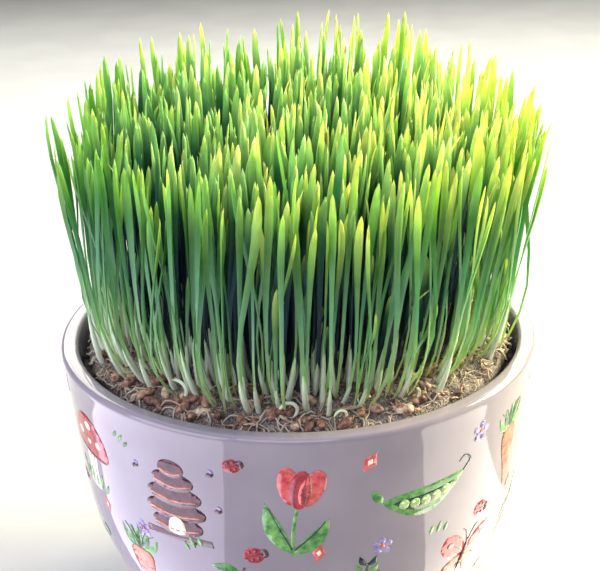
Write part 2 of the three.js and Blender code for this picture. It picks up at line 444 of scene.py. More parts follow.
def finish_mesh(name, mesh, material, node):
    """An object of a mesh in millimetres: scaled to metres, smooth, riding on the root in place of a node."""
    mesh.transform(Matrix.Scale(MM, 4))
    mesh.shade_smooth()
    mesh.materials.append(material)
    made = bpy.data.objects.new(name, mesh)
    bpy.context.scene.collection.objects.link(made)
    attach(made, "root")
    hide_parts(node)


def spun(points, steps):
    """Closed surface of an outline of (radius, height) points turned about the Z axis."""
    bm = bmesh.new()
    verts = [bm.verts.new((radius, 0, height)) for radius, height in points]
    edges = [bm.edges.new(pair) for pair in zip(verts, verts[1:])]
    bmesh.ops.spin(bm, geom=verts + edges, cent=(0, 0, 0), axis=(0, 0, 1), angle=2 * math.pi,
                   steps=steps, use_merge=True)
    bmesh.ops.remove_doubles(bm, verts=bm.verts, dist=SAME_POINT)
    bmesh.ops.recalc_face_normals(bm, faces=bm.faces)
    return bm


def template_of(bm):
    """Points and faces of a small bmesh, ready to be copied many times."""
    bm.verts.index_update()
    points = np.array([vert.co[:] for vert in bm.verts])
    faces = [[vert.index for vert in face.verts] for face in bm.faces]
    bm.free()
    return points, faces


def scatter(faces, places, **attributes):
    """One mesh of many bent copies of a template, placed by their points.

    An attribute has a value for each copy's row, for each point of the template, or one for all.
    """
    shape = np.shape(places)[:2]
    offsets = np.arange(shape[0]) * shape[1]
    corners = [[corner + offset for corner in face] for offset in offsets.tolist() for face in faces]
    mesh = bpy.data.meshes.new("copies")
    mesh.from_pydata(np.concatenate(places).tolist(), [], corners)
    for name, values in attributes.items():
        made = mesh.attributes.new(name, "FLOAT", "POINT")
        made.data.foreach_set("value", np.broadcast_to(values, shape).astype(np.float32).ravel())
    return mesh


def each(values):
    """Values for a mesh of copies, one for each copy."""
    return np.array(list(values))[:, None]


def lump_template():
    bm = bmesh.new()
    bmesh.ops.create_uvsphere(bm, u_segments=8, v_segments=5, radius=1)
    return template_of(bm)


# Pot

def arc(radius, height, size, start, end, steps):
    """Points of an arc in the outline's plane, angles from the outward direction."""
    corners = [polar(size, start + (end - start) * i / steps) for i in range(steps + 1)]
    return [(radius + out, height + up) for out, up in corners]


def bowl_radius(depth, inset=0):
    """Outside radius of the bowl at a depth below the lip: a straight taper, then the belly's arc."""
    if depth <= TAPER_DEPTH:
        return LIP_RADIUS - math.tan(TAPER) * depth - inset
    centre = SHOULDER_RADIUS - BELLY_RADIUS * math.cos(TAPER)
    middle = TAPER_DEPTH - BELLY_RADIUS * math.sin(TAPER)
    return centre + math.sqrt((BELLY_RADIUS - inset) ** 2 - (depth - middle) ** 2)


def bowl_side(low, high, inset, steps):
    """Outline points of the bowl's side between two depths below the lip."""
    depths = [low + (high - low) * i / steps for i in range(steps + 1)]
    return [(bowl_radius(depth, inset), POT_HEIGHT - depth) for depth in depths]


def make_pot():
    """The glazed bowl: foot ring, belly, rounded lip and inside."""
    inner_foot = FOOT_RADIUS - FOOT_WIDTH
    lip_inner = LIP_RADIUS - WALL
    lip_centre = POT_HEIGHT - LIP_EDGE
    outline = [
        (0, FOOT_RECESS),
        *arc(inner_foot - FOOT_EDGE, FOOT_RECESS - FOOT_EDGE, FOOT_EDGE, math.pi / 2, 0, 3),
        *arc(inner_foot + FOOT_EDGE, FOOT_EDGE, FOOT_EDGE, math.pi, math.pi * 1.5, 4),
        *arc(FOOT_RADIUS - FOOT_EDGE, FOOT_EDGE, FOOT_EDGE, -math.pi / 2, 0, 4),
        (FOOT_RADIUS, FOOT_HEIGHT - FOOT_STEP),
        (FOOT_RADIUS + FOOT_FLARE, FOOT_HEIGHT - FOOT_FLARE / 2),
        *bowl_side(POT_HEIGHT - FOOT_HEIGHT - FOOT_STEP, TAPER_DEPTH, 0, 26),
        *bowl_side(TAPER_DEPTH - 6, LIP_EDGE + 1, 0, 6),
        *arc(LIP_RADIUS - LIP_EDGE, lip_centre, LIP_EDGE, 0, math.pi / 2, 8),
        *arc(lip_inner + LIP_EDGE, lip_centre, LIP_EDGE, math.pi / 2, math.pi, 8),
        *reversed(bowl_side(POT_HEIGHT - FLOOR, LIP_EDGE + 1, WALL, 20)),
        (0, FLOOR),
    ]
    mesh = to_mesh(spun(outline, POT_STEPS), "glazed_pot")
    finish_mesh("glazed_pot", mesh, glaze_material(), "pot")


# Print: a generic garden pattern. Each motif is drawn flat, y up, about 28 mm high round its own middle,
# in layers from the lowest up: an ink and its outlines.

def oval(x, y, width, height, turn=0, corners=22):
    """Ellipse round a point, turned by some degrees."""
    made = []
    for i in range(corners):
        u, v = polar(0.5, 2 * math.pi * i / corners)
        u, v = turned(width * u, height * v, math.radians(turn))
        made.append((x + u, y + v))
    return made


def leaf(x0, y0, x1, y1, width, bow=0, steps=8):
    """Pointed leaf between two points, its middle pushed to the left by bow."""
    long_x, long_y = x1 - x0, y1 - y0
    length = math.hypot(long_x, long_y)
    sides = []
    for side in (1, -1):
        row = []
        for i in range(steps + 1):
            share = i / steps
            swell = math.sin(math.pi * share)
            out = (bow * swell + side * width / 2 * swell ** 0.8 * (1.15 - 0.3 * share)) / length
            row.append((x0 + long_x * share - long_y * out, y0 + long_y * share + long_x * out))
        sides.append(row)
    return sides[0] + sides[1][-2:0:-1]


def smooth(points, closed=False, steps=4):
    """A rounder line through some points."""
    count = len(points)
    made = []
    for i in range(count if closed else count - 1):
        near = [i + k if closed else min(max(i + k, 0), count - 1) for k in (-1, 0, 1, 2)]
        pick = [points[k % count] for k in near]
        for step in range(steps):
            t = step / steps
            weights = (-t + 2 * t * t - t ** 3, 2 - 5 * t * t + 3 * t ** 3,
                       t + 4 * t * t - 3 * t ** 3, t ** 3 - t * t)
            made.append([sum(w * p[axis] for w, p in zip(weights, pick)) / 2 for axis in (0, 1)])
    return made if closed else made + [points[-1]]


def blob(*points):
    """A rounded shape through some points."""
    return smooth(points, closed=True)


def stroke(*points, width=0.7):
    """A brush line through some points, thinner at its end."""
    line = smooth(points)
    left, right = [], []
    for i, (x, y) in enumerate(line):
        before, after = line[max(i - 1, 0)], line[min(i + 1, len(line) - 1)]
        dx, dy = after[0] - before[0], after[1] - before[1]
        length = math.hypot(dx, dy)
        half = width / 2 * (1 - 0.5 * i / len(line))
        left.append((x - dy / length * half, y + dx / length * half))
        right.append((x + dy / length * half, y - dx / length * half))
    return left + right[::-1]


def tulip():
    return [
        ("leaf_green",
         stroke((0.4, -14), (-0.5, -5), (0, 4), width=1.3),
         leaf(0.2, -13.5, -8.8, 2, 5, 1.4),
         leaf(0.4, -13.5, 8.6, -1, 4.6, -1.4)),
        ("dark_green",
         stroke((0, -12), (-4.6, -5), (-7.6, 0.4), width=0.6),
         stroke((0.6, -12), (5, -6.4), (7.6, -2), width=0.6)),
        ("coral", oval(-2.9, 8.2, 6.2, 12, 16), oval(2.9, 8.2, 6.2, 12, -16)),
        ("crimson", oval(0, 7.4, 5.8, 12.2)),
        ("plum",
         stroke((-1.2, 3.2), (-1.6, 7), (-0.9, 11), width=0.4),
         stroke((1.3, 3.4), (1.5, 6.6), (1, 10), width=0.4)),
    ]


def watering_can():
    dots = [oval(-3.5 + 4 * i, -5.2 + 4.6 * (i % 2), 1.7, 1.7, corners=10) for i in range(3)]
    drops = [leaf(12.4 + 1.3 * i, 1.8 - 2.6 * i, 13.2 + 1.3 * i, -0.8 - 2.8 * i, 1.3) for i in range(3)]
    return [
        ("dark_green",
         stroke((-6.4, 4), (-11.6, 4.4), (-12.4, -1.6), (-7, -5.6), width=1.7),
         stroke((-5, 4.6), (-2, 11), (3.4, 10.6), (4.6, 4.6), width=1.3)),
        ("leaf_green",
         [(4.8, -6), (7.4, -3.6), (11.4, 5.2), (12.8, 4.6), (13.2, 6.4), (8.6, 8.6), (8, 7),
          (9.4, 6.3), (5.4, 0)],
         blob((-7.6, -9), (0, -9.6), (6.8, -9), (6.2, -1), (5.4, 4.8), (-0.4, 5.4), (-6.2, 4.8),
              (-6.9, -1))),
        ("dark_green",
         stroke((-6.3, 3.4), (-0.4, 4), (5.4, 3.4), width=1.1),
         stroke((-7.2, -7.6), (0, -8.2), (6.4, -7.6), width=1.1)),
        ("coral", *dots),
        ("lilac", *drops),
    ]


def carrot():
    rings = [stroke((-3.6 + 0.45 * i, 3 - 3.1 * i), (-1.6 + 0.5 * i, 2.5 - 3.1 * i), width=0.5)
             for i in range(4)]
    tops = [leaf(0, 4.4, -7 + 3.5 * i, 13.4 - 1.1 * abs(i - 2), 2.3, 0.8 * (2 - i)) for i in range(5)]
    ribs = [stroke((0, 5), (-3 + 1.5 * i, 9.6), (-5.6 + 2.8 * i, 12), width=0.4) for i in range(5)]
    return [
        ("leaf_green", *tops),
        ("dark_green", *ribs),
        ("terracotta", blob((0, 5.4), (4.2, 4), (4, -1), (2.2, -7), (0.4, -14), (-0.6, -14),
                            (-2.3, -7), (-4, -1), (-4.2, 4))),
        ("crimson", *rings, stroke((3.4, -1), (1.8, -1.6), width=0.5)),
    ]


def mushroom():
    spots = [(-4.6, 4, 2.6, 2), (0.4, 7.4, 3.2, 2.2), (5, 3.6, 2.4, 1.9), (0.2, 2.8, 2, 1.4)]
    blades = [leaf(-6 + 2.4 * i, -10.6, -7.4 + 3 * i, -5.4 - (i % 2) * 1.6, 1.2) for i in range(6)]
    return [
        ("cream", blob((-2.6, 0), (-2.4, -6), (-3.6, -10.4), (0, -11.2), (3.6, -10.4), (2.4, -6),
                       (2.6, 0))),
        ("plum",
         stroke((1.4, -1), (1.3, -6), (2.2, -9.6), width=0.5),
         stroke((-0.4, -1), (-0.5, -4), width=0.4)),
        ("crimson", blob((-9.4, 0.4), (-8.2, 5.8), (-3.6, 9.8), (1, 10.6), (5.6, 8.8), (8.9, 4.8),
                         (9.4, 0.4), (4.6, -1), (0, -1.4), (-4.6, -1))),
        ("plum", stroke((-8.8, 0.2), (-4, -0.6), (0, -0.9), (4, -0.6), (8.8, 0.2), width=0.7)),
        ("cream", *[oval(*spot) for spot in spots]),
        ("leaf_green", *blades),
    ]


def daisy():
    petals = []
    for i in range(11):
        x, y = polar(1, 2 * math.pi * i / 11)
        petals.append(leaf(1.8 * x, 6 + 1.8 * y, 8.2 * x, 6 + 8.2 * y, 3))
    return [
        ("leaf_green",
         stroke((0.6, -14), (-0.6, -6), (0, 3), width=1.1),
         leaf(-0.2, -9, -7.6, -3.6, 3.6, 0.6),
         leaf(-0.3, -7, 6.8, -3, 3.2, -0.6)),
        ("dark_green", stroke((-0.6, -8.4), (-4, -5.8), (-6.6, -4.2), width=0.45)),
        ("lilac", *petals),
        ("plum", *[stroke(petal[0], petal[4], width=0.35) for petal in petals]),
        ("terracotta", oval(0, 6, 4.8, 4.8)),
        ("plum", oval(0.5, 5.5, 2.2, 2)),
    ]


def butterfly():
    made = []
    for side in (-1, 1):
        made += [
            ("coral", blob((0, 1), (side * 3, 7), (side * 8.6, 9), (side * 10.4, 4.6), (side * 6, 0.4))),
            ("terracotta", blob((0, 0), (side * 6, -1), (side * 8, -5.2), (side * 4.6, -8),
                                (side * 1.2, -3.6))),
            ("plum", oval(side * 7, 5.4, 2.6, 2.2)),
            ("cream", oval(side * 4.4, -4, 2, 2)),
            ("plum",
             stroke((side * 1, 1.6), (side * 3.4, 3.4), (side * 5, 4.4), width=0.4),
             stroke((side * 0.3, 5), (side * 1.6, 8.6), (side * 3.2, 9.8), width=0.4)),
        ]
    return made + [("plum", leaf(0, -6.4, 0, 6, 2.2))]


def pea_pod():
    rows = [(3.2 * i, 0.22 * (i - 2) ** 2) for i in range(5)]
    return [
        ("leaf_green", leaf(-12.6, 1.4, 12.8, 2.6, 8.6, -3.6, 12)),
        ("dark_green", leaf(-9.6, 0.4, 9.4, 0.8, 4.4, -2.4, 12)),
        ("pale_green", *[oval(x - 6.4, y - 1.6, 3, 3, corners=14) for x, y in rows]),
        ("cream", *[oval(x - 6.9, y - 1, 0.9, 0.7, corners=8) for x, y in rows]),
        ("dark_green", stroke((12.4, 2.4), (14.8, 5), (12.6, 7), (10.8, 5.6), width=0.7)),
        ("leaf_green", leaf(-12.4, 1.6, -15, 6, 2.6)),
    ]


def fern():
    made = [("dark_green", stroke((2, -14), (0.6, -6), (0, 2), (1.6, 13), width=1.1))]
    for i in range(8):
        share = i / 7
        x, y = 0.6 + 0.8 * share * share, -8 + 20 * share
        reach = 8.6 * (1 - 0.72 * share)
        ink = "dark_green" if i % 2 else "leaf_green"
        made.append((ink, leaf(x, y, x - reach, y + 3.6, 2.7 - share, 0.6),
                     leaf(x, y, x + reach, y + 3, 2.7 - share, -0.6)))
    return made


def beehive():
    bands = [(-8, 15, 6.4), (-3.6, 17.4, 6.4), (0.8, 15.6, 6.4), (5, 12, 5.8), (8.6, 7.4, 5)]
    seams = [stroke((-width * 0.44, y - 0.6), (0, y - 1.7), (width * 0.44, y - 0.6))
             for y, width, height in bands]
    made = [
        ("plum",
         [(-10, -12.6), (10, -12.6), (9.6, -10.6), (-9.6, -10.6)],
         *[oval(0, *band) for band in bands]),
        ("terracotta", *seams),
        ("cream", blob((-2.2, -10.4), (-2, -6.8), (0, -5.6), (2, -6.8), (2.2, -10.4))),
    ]
    for x, y in ((-11, 6), (10.6, 9.4), (12, -1)):
        made += [("plum", oval(x, y, 2.2, 1.3, 20, 10)), ("lilac", oval(x + 0.3, y + 1, 1.5, 0.9, -30, 10))]
    return made


def pear():
    return [
        ("pale_green", blob((0, 7.4), (3, 5), (3.6, 0), (7.4, -5), (6.8, -10.6), (0, -13),
                            (-6.8, -10.6), (-7.4, -5), (-3.6, 0), (-3, 5))),
        ("leaf_green", blob((2, 4.8), (2.6, 0), (6, -5), (5.6, -9.6), (1.4, -12), (3.6, -8.6),
                            (3.2, -4), (1.2, 0))),
        ("coral", oval(-3.2, -6.4, 3.6, 5, 15)),
        ("plum", stroke((0, 6.4), (0.4, 10), (2, 12.6), width=1)),
        ("leaf_green", leaf(0.6, 9.6, -7.4, 12.6, 4, -0.6)),
        ("dark_green", stroke((0, 9.8), (-3.6, 11), (-6.6, 12.2), width=0.4)),
    ]


def ladybird():
    dots = [(-0.8, 1.3), (-0.8, -1.3), (1, 1.2), (1, -1.2)]
    return [
        ("crimson", oval(0, 0, 6, 5)),
        ("plum",
         oval(3, 0, 2.2, 3),
         stroke((2, 0), (-2.8, 0), width=0.4),
         *[oval(x, y, 1.1, 1.1, corners=8) for x, y in dots]),
    ]


def blossom():
    ways = [2 * math.pi * i / 5 + 0.3 for i in range(5)]
    petals = [oval(*polar(2, way), 2.8, 2.3, math.degrees(way), 12) for way in ways]
    return [("lilac", *petals), ("terracotta", oval(0, 0, 1.8, 1.8, corners=10))]


def diamond():
    return [
        ("coral", [(0, 3), (1.9, 0), (0, -3), (-1.9, 0)]),
        ("cream", [(0, 1.1), (0.7, 0), (0, -1.1), (-0.7, 0)]),
    ]


def seeds():
    return [("leaf_green", leaf(-2.6 + 2.6 * i, -1.2, -2.2 + 2.8 * i, 2 + (i % 2), 1.5)) for i in range(3)]


MOTIFS = [fern, butterfly, watering_can, daisy, mushroom, beehive, tulip, pea_pod, carrot, pear]
FILLERS = [diamond, blossom, seeds, ladybird]

# Rows of the print: its middle's distance from the lip along the wall, motifs round it, their size,
# the first motif, and the share of a step the row is turned
PRINT_ROWS = [(28, 12, 1.3, 0, 0.0), (65, 12, 1.2, 4, 0.5), (98, 10, 0.95, 8, 0.2)]
# Rows of small fillers: distance, fillers round it, share of a step they are turned
FILLER_ROWS = [(12, 12, 0.5), (46, 24, 0.25), (82, 20, 0.4), (113, 12, 0.3)]

INKS = {
    "leaf_green": ("#2F6F3A", "#74AE5C"),
    "dark_green": ("#10261F", "#2C5244"),
    "pale_green": ("#8FBB6C", "#BAD795"),
    "coral": ("#B02F3C", "#DD6F6C"),
    "crimson": ("#7A1B2A", "#B53645"),
    "terracotta": ("#96432B", "#CB7A55"),
    "plum": ("#32141F", "#633341"),
    "lilac": ("#71659A", "#A69AC4"),
    "cream": ("#EBDFC9", "#F7EEDF"),
}
MOTIF_TURN = 0.02
MOTIF_SHIFT = 2
MOTIF_SIZES = (0.94, 1.06)
MOTIF_TILT = 0.16
FILLER_SHIFT = 1.5
FILLER_SIZES = (1, 1.35)
FILLER_TILT = 0.6
PRINT_CELL = 2.4
PRINT_RISE = 0.04
LAYER_RISE = 0.015
PRINT_LAYERS = 6
PRINT_SUNK = 0.2


def wall_point(down, out):
    """Radius and height of a point on the outer wall, down along it from the lip and out from it."""
    taper_length = TAPER_DEPTH / math.cos(TAPER)
    if down <= taper_length:
        angle = TAPER
        depth = down * math.cos(TAPER)
        radius = LIP_RADIUS - math.tan(TAPER) * depth
    else:
        angle = TAPER + (down - taper_length) / BELLY_RADIUS
        radius = SHOULDER_RADIUS - BELLY_RADIUS * (math.cos(TAPER) - math.cos(angle))
        depth = TAPER_DEPTH + BELLY_RADIUS * (math.sin(angle) - math.sin(TAPER))
    return radius + out * math.cos(angle), POT_HEIGHT - depth - out * math.sin(angle)


def print_shape(bm, outline, place, layer):
    """Adds one outline to an ink's mesh as a thin plate that follows the wall."""
    bearing, down, size, tilt = place
    flat = bmesh.new()
    face = flat.faces.new([flat.verts.new((x * size, y * size, 0)) for x, y in outline])
    bmesh.ops.triangulate(flat, faces=[face])
    for axis, way in enumerate(((1, 0, 0), (0, 1, 0))):
        values = [vert.co[axis] for vert in flat.verts]
        for i in range(1, int((max(values) - min(values)) / PRINT_CELL) + 1):
            bmesh.ops.bisect_plane(flat, geom=flat.verts[:] + flat.edges[:] + flat.faces[:],
                                   plane_co=Vector(way) * (min(values) + PRINT_CELL * i), plane_no=way)
    bmesh.ops.solidify(flat, geom=flat.faces[:], thickness=PRINT_SUNK)
    rise = PRINT_RISE + LAYER_RISE * min(layer, PRINT_LAYERS) - max(vert.co.z for vert in flat.verts)
    middle = wall_point(down, 0)[0]
    for vert in flat.verts:
        x, y = turned(vert.co.x, vert.co.y, tilt)
        radius, height = wall_point(down - y, rise + vert.co.z)
        vert.co = (*polar(radius, bearing + x / middle), height)
    bmesh.ops.recalc_face_normals(flat, faces=flat.faces)
    part = to_mesh(flat, "shape")
    bm.from_mesh(part)
    bpy.data.meshes.remove(part)


def print_place(bearing, down, shift, sizes, tilt):
    """A place on the wall, drawn near a bearing and distance: with its size and tilt."""
    return (bearing, down + draw.uniform(-shift, shift), draw.uniform(*sizes), draw.uniform(-tilt, tilt))


def print_places():
    """Motifs and fillers with their places on the wall."""
    for down, count, size, first, share in PRINT_ROWS:
        for i in range(count):
            bearing = math.pi / 2 + 2 * math.pi * (i + share) / count + draw.uniform(-MOTIF_TURN, MOTIF_TURN)
            sizes = [size * scale for scale in MOTIF_SIZES]
            place = print_place(bearing, down, MOTIF_SHIFT, sizes, MOTIF_TILT)
            yield MOTIFS[(i + first) % len(MOTIFS)], place
    for down, count, share in FILLER_ROWS:
        for i in range(count):
            bearing = -math.pi / 2 + 2 * math.pi * (i + share) / count
            place = print_place(bearing, down, FILLER_SHIFT, FILLER_SIZES, FILLER_TILT)
            yield FILLERS[i % len(FILLERS)], place


def make_print():
    """All the motifs round the pot, one mesh for each ink."""
    inks = {name: bmesh.new() for name in INKS}
    for motif, place in print_places():
        shapes = [(ink, outline) for ink, *outlines in motif() for outline in outlines]
        for layer, (ink, outline) in enumerate(shapes):
            print_shape(inks[ink], outline, place, layer)
    for name, bm in inks.items():
        ink = ink_material(name, *INKS[name])
        finish_mesh("print_" + name, to_mesh(bm, name), ink, "pot")


# Soil and root mat

def soil_height(x, y):
    """Height of the soil's top: level under the mat, crumbly in the ring that shows."""
    shown = smoothstep(math.hypot(x, y) - SOD_SET_BACK, MAT_SEAT_RADIUS - 1, MAT_RADIUS)
    crumbs = math.sin(x * 0.71 + 1.3) * math.cos(y * 0.63 - 0.4) + 0.6 * math.sin((x - y) * 0.37)
    fine = noise.noise(Vector((x, y, 3)) * 0.8) * 0.9 + noise.noise(Vector((x, y, 9)) * 2.1) * 0.45
    return SOIL_TOP + shown * (SOIL_BUMP * crumbs + fine)


def make_soil(material):
    """The soil plug, with fine rings where it shows beside the mat."""
    inset = WALL + WALL_GAP
    edge = bowl_radius(SOIL_DEPTH, inset)
    floor = FLOOR + GAP
    outline = [
        (0, floor),
        *bowl_side(POT_HEIGHT - floor, TAPER_DEPTH, inset, 8),
        *[(edge - SOIL_RING_WIDTH * i, SOIL_TOP) for i in range(SOIL_RINGS)],
        (SOIL_LEVEL_RADIUS, SOIL_TOP),
        (0, SOIL_TOP),
    ]
    bm = spun(outline, SOIL_STEPS)
    for vert in bm.verts:
        if abs(vert.co.z - SOIL_TOP) < SAME_HEIGHT:
            vert.co.z = soil_height(vert.co.x, vert.co.y)
    finish_mesh("soil_plug", to_mesh(bm, "soil_plug"), material, "soil")


def make_crumbs(material):
    """Loose crumbs of soil in the ring beside the mat."""
    points, faces = lump_template()
    places = []
    for _ in range(CRUMBS):
        bearing = draw.uniform(0, 2 * math.pi)
        x, y = polar(draw.uniform(*CRUMB_RING), bearing)
        size = draw.uniform(*CRUMB_SIZES)
        lump = points @ np.array(Matrix.Rotation(draw.uniform(0, 6), 3, "Z"))
        rough = each(noise.noise(Vector(p) * 1.7 + Vector((x, y, 0))) for p in lump)
        stretch = np.array([draw.uniform(*stretches) for stretches in CRUMB_STRETCHES])
        crumb = lump * (1 + CRUMB_ROUGHNESS * rough) * stretch * size
        places.append(crumb + (x, y, soil_height(x, y) + size * 0.3))
    finish_mesh("soil_crumbs", scatter(faces, places), material, "soil")


def mat_height(x, y):
    """Height of the mat's top, by the solids' own rule. x and y are from the sod's middle."""
    fall = smoothstep(math.hypot(x, y), MAT_RADIUS - MAT_EDGE_WIDTH, MAT_RADIUS)
    lumps = math.sin(x * 0.29 + 0.7) * math.sin(y * 0.33 + 2.1) + 0.5 * math.sin((x + y) * 0.47)
    return MAT_TOP - MAT_EDGE_DROP * fall + MAT_BUMP * math.sqrt(fall) * lumps


def felt(x, y):
    """Fine relief of the felted roots."""
    return (noise.noise(Vector((x, y, 0)) * 0.35) * 0.9
            + abs(noise.noise(Vector((x, y, 5)) * 0.9)) * 1.3
            + noise.noise(Vector((x, y, 8)) * 2.4) * 0.4)


def make_root_mat():
    """The mat of roots and husks that the blades grow out of."""
    seat = SOIL_TOP + GAP
    outline = [
        (0, seat),
        (MAT_SEAT_RADIUS, seat),
        (MAT_RADIUS - 0.8, seat + 1.1),
        (MAT_RADIUS, seat + MAT_EDGE_LIFT),
        *[(MAT_RADIUS - 1 - MAT_RING_WIDTH * i, MAT_TOP) for i in range(MAT_RINGS)],
        (MAT_INNER_RING, MAT_TOP),
        (0, MAT_TOP),
    ]
    bm = spun(outline, MAT_STEPS)
    for vert in bm.verts:
        x, y, z = vert.co
        if abs(z - MAT_TOP) < SAME_HEIGHT:
            vert.co.z = mat_height(x, y) + felt(x, y)
        elif z > seat + 1:
            grow = 1 + MAT_EDGE_WAVE * noise.noise(Vector((x, y, z)) * 0.5)
            vert.co.x *= grow
            vert.co.y *= grow
        vert.co.y += SOD_SET_BACK
    mesh = to_mesh(bm, "root_mat")
    finish_mesh("root_mat", mesh, root_mat_material(), "wheatgrass_sod")


# The solids' own sequence of numbers, so that the main blades and grains stand where the solids' do

class Sequence:
    def __init__(self, seed):
        self.state = seed

    def next(self):
        self.state = self.state * 16807 % 2147483647
        return self.state / 2147483647

    def spread(self, amount):
        return (self.next() * 2 - 1) * amount


def grain_place(source, inner, outer):
    """A grain's place on the mat between two radii, drawn by the solids' own rule."""
    radius = inner + (outer - inner) * math.sqrt(source.next())
    x, y = polar(radius, source.next() * 2 * math.pi)
    return {"x": x, "y": y, "tilt": source.spread(GRAIN_TILT), "turn": source.next() * math.pi}


def blade_middle(blade, along):
    """Where the middle of a solid's blade is at a share of its height."""
    fan = blade["fan"] * along ** FAN_BEND - blade["pull"] * max(1 - along / STRAIGHT_SHARE, 0)
    lean = along ** LEAN_BEND
    x, y = polar(fan, blade["bearing"])
    return blade["x"] + x + blade["lean_x"] * lean, blade["y"] + y + blade["lean_y"] * lean


def keeps_clear(blade, others):
    """True where a blade stays apart from the others at every height."""
    shares = [i / CLEARANCE_CHECKS for i in range(CLEARANCE_CHECKS + 1)]
    for other in others:
        if math.hypot(blade["x"] - other["x"], blade["y"] - other["y"]) > NEIGHBOUR_REACH:
            continue
        for along in shares:
            here = blade_middle(blade, along)
            there = blade_middle(other, min(along * blade["height"] / other["height"], 1))
            if math.dist(here, there) < CLEARANCE:
                return False
    return True


def draw_blade(source, index, count):
    """A blade's place and habit, drawn by the solids' own rule."""
    radius = ROOT_RADIUS * math.sqrt((index + 0.5) / count)
    bearing = index * GOLDEN_ANGLE
    x, y = polar(radius, bearing)
    x += source.spread(ROOT_JITTER)
    y += source.spread(ROOT_JITTER)
    inner = radius < INNER_RADIUS
    front = smoothstep(-y, FRONT_START, FRONT_FULL)
    pull = 0 if inner else FRONT_PULL * front * (radius / ROOT_RADIUS) ** FRONT_PULL_POWER
    pull_x, pull_y = polar(pull, bearing)
    back_rise = BLADE_BACK_RISE * (y / ROOT_RADIUS)
    return {
        "x": x,
        "y": y,
        "z": mat_height(x - pull_x, y - pull_y) - ROOT_DEPTH,
        "pull": pull,
        "front": front,
        "bearing": bearing,
        "radius": radius,
        "fan": FAN_OUT * (radius / ROOT_RADIUS) ** FAN_POWER,
        "lean_x": source.spread(LEAN_SPREAD) + LEAN_RIGHT,
        "lean_y": source.spread(LEAN_SPREAD),
        "height": BLADE_HEIGHT + source.spread(BLADE_HEIGHT_SPREAD) + back_rise + ROOT_DEPTH,
        "width": BLADE_WIDTH + source.spread(BLADE_WIDTH_SPREAD),
        "turn": source.next() * math.pi * 2,
        "twist": 0 if inner else source.spread(TWIST_SPREAD),
    }


def main_plants():
    """Grains and blades of the solids, drawn in the solids' order."""
    source = Sequence(SEED)
    grains = [grain_place(source, GRAIN_INNER_RADIUS, GRAIN_OUTER_RADIUS) for _ in range(GRAINS)]
    blades = []
    for index in range(BLADES):
        blade = draw_blade(source, index, BLADES)
        tries = 1
        while tries < TRIES and not keeps_clear(blade, blades):
            blade = draw_blade(source, index, BLADES)
            tries += 1
        blades.append(blade)
    return grains, blades


def is_bare(blade):
    """True in the thin patches of the outer growth, and at the front rim where only main blades stand."""
    patch = noise.noise(Vector((blade["x"], blade["y"], 0)) * PATCH_SCALE) > PATCH_LEVEL
    thin = patch and blade["radius"] > PATCH_INNER_RADIUS and abs(blade["x"]) < PATCH_REACH
    return thin or (blade["front"] > 0.5 and blade["radius"] > FRONT_BARE_RADIUS)


def more_blades(hosts):
    """The finer growth between the main blades, some of it still short. Part of it shares a host's foot."""
    source = Sequence(SEED + 1)
    blades = []
    for index in range(MORE_BLADES):
        blade = draw_blade(source, index + 0.5, MORE_BLADES)
        if is_bare(blade):
            continue
        if draw.random() < CLUMP_SHARE:
            host = draw.choice(hosts)
            for habit in ("x", "y", "z", "bearing", "radius", "fan", "pull", "front"):
                blade[habit] = host[habit]
            blade["x"] += draw.gauss(0, CLUMP_SPREAD)
            blade["y"] += draw.gauss(0, CLUMP_SPREAD)
        blade["lean_x"] = LEAN_RIGHT + draw.gauss(0, LEAN_SPREAD)
        blade["lean_y"] = draw.gauss(0, LEAN_SPREAD)
        share = draw.uniform(*FULL_HEIGHTS)
        if draw.random() < SHORT_SHARE:
            share *= draw.uniform(*SHORT_HEIGHTS)
        for habit in ("height", "fan", "lean_x", "lean_y"):
            blade[habit] *= share
        reach = blade["x"] + blade["fan"] * math.cos(blade["bearing"]) + blade["lean_x"]
        blade["lean_x"] += max(LEFT_REACH - reach, 0)
        blade["width"] *= draw.uniform(*MORE_WIDTHS)
        blade["twist"] = draw.uniform(-TWIST_SPREAD, TWIST_SPREAD)
        blades.append(blade)
    return blades


# Blades

BLADE_RINGS = [0, 0.08, 0.18, 0.32, 0.48, 0.62, 0.74, 0.83, 0.91, 0.97, 1]
SHEATH_RINGS = [0, 0.2, 0.45, 0.7, 0.88, 1]
SHEATH_GIRTHS = [1, 1.1, 1.05, 0.85, 0.5, 0]

# A blade's width low down as a share of its widest, and the shares of its height where its swell ends
# and its lance tip starts
STEM_WIDTH = 0.42
SWELL_END = 0.82
TIP_START = 0.84
# Shares of its width: its keel's depth low down and in the leaf, its stem's thickness, its sheath's width
STEM_KEEL = 0.16
LEAF_KEEL = 0.26
STEM_ROUNDNESS = 0.62
SHEATH_WIDTH = 0.7
# A leaf's thickness, and the share of its height over which it thins out at the tip
LEAF_THICKNESS = 0.32
TIP_THINNING = 0.06
# Shares of its height: where the kink at its foot ends and a droop starts. It sways this often up its height.
KINK_END = 0.34
DROOP_START = 0.8
SWAY_TURNS = 0.8
# How far the side edges of a strip one unit wide are from its middle, at least
SIDE_EDGE = 0.45


